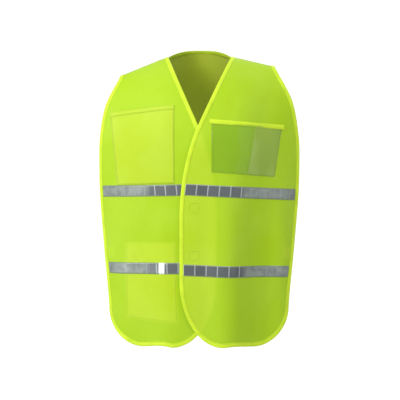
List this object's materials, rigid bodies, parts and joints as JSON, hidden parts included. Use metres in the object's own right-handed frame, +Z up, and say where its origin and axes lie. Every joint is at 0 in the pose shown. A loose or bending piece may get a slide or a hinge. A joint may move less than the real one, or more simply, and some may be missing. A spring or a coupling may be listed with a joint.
{
  "type": "high visibility vest",
  "caption": "Open-sided high visibility vest with bound edges, overlapping hook-and-loop front, reflective bands, a patch pocket and a clear identity card pocket.",
  "frame": {"origin": "midway between the two neck points, where the shoulder seams meet the neckline", "axes": "+Z up, -Y out of the front, +X towards the wearer's left"},
  "size_m": [0.4658, 0.2314, 0.6846],
  "materials": {
    "cloth": "fluorescent lime polyester knit",
    "pocket_cloth": "fluorescent lime polyester knit",
    "binding": "fluorescent yellow folded binding tape",
    "reflective": "silver prismatic reflective tape, glossy",
    "vinyl": "clear flexible vinyl",
    "hook": "hook tape",
    "loop": "loop tape",
    "elastic": "ribbed elastic"
  },
  "bodies": {
    "back": {"back_panel": "cloth", "back_edge_binding": "binding", "back_neck_binding": "binding", "back_upper_tape": "reflective", "back_lower_tape": "reflective", "right_shoulder_seam_tape": "binding", "left_shoulder_seam_tape": "binding", "right_side_strap": "elastic", "left_side_strap": "elastic"},
    "left_front": {"left_front_panel": "cloth", "left_front_edge_binding": "binding", "left_front_upper_tape": "reflective", "left_front_lower_tape": "reflective", "id_pocket_window": "vinyl", "id_pocket_binding": "binding", "upper_hook_patch": "hook", "lower_hook_patch": "hook"},
    "right_front": {"right_front_panel": "cloth", "right_front_edge_binding": "binding", "right_front_upper_tape": "reflective", "right_front_lower_tape": "reflective", "right_chest_pocket": "pocket_cloth", "right_chest_pocket_hem": "pocket_cloth", "right_inner_pocket": "pocket_cloth", "upper_loop_patch": "loop", "lower_loop_patch": "loop"}
  },
  "joints": [
    {"name": "left_front_opens", "type": "hinge", "parent": "back", "child": "left_front", "pos_m": [0.232, -0.033, -0.3], "axis": [0, 0, 1], "range_deg": [0, 60]},
    {"name": "right_front_opens", "type": "hinge", "parent": "back", "child": "right_front", "pos_m": [-0.232, -0.033, -0.3], "axis": [0, 0, -1], "range_deg": [0, 36]}
  ],
  "couplings": [
    {"joint": "right_front_opens", "follows": "left_front_opens", "ratio": 0.6}
  ]
}
